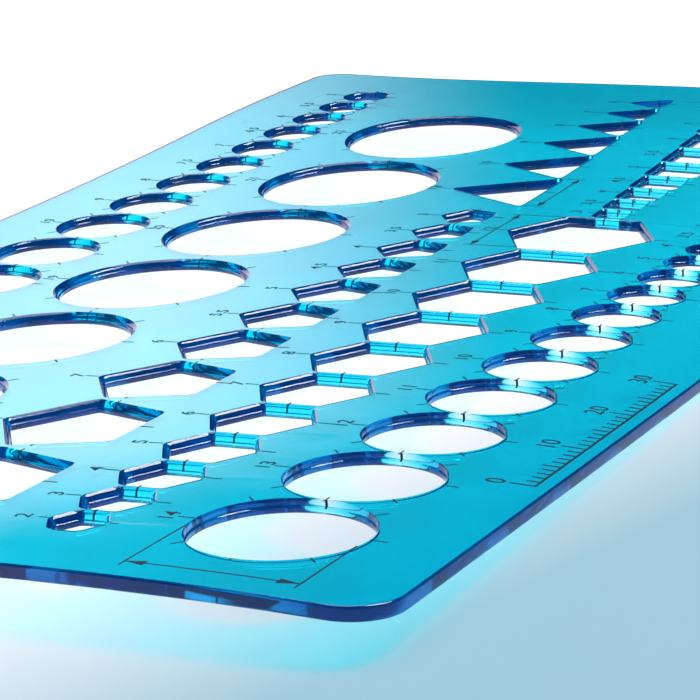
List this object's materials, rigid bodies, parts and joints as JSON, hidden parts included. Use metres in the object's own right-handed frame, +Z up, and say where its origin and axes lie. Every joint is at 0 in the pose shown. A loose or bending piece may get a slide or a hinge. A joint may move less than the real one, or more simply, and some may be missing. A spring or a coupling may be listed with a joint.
{
  "type": "drawing template",
  "caption": "Thin clear plastic drawing template with rows of circles, hexagons, squares, pentagons and triangles to trace.",
  "frame": {"origin": "middle of the plate's underside, on the surface it lies on", "axes": "+Z up through the plate, +Y along the rows and the long edges, +X across the plate towards the long edge beside the small circles"},
  "size_m": [0.096, 0.18, 0.0011],
  "materials": {
    "clear_plastic": "clear blue, polished faces",
    "print": "thin dark ink"
  },
  "bodies": {
    "root": {"template_plate": "clear_plastic"}
  },
  "joints": []
}
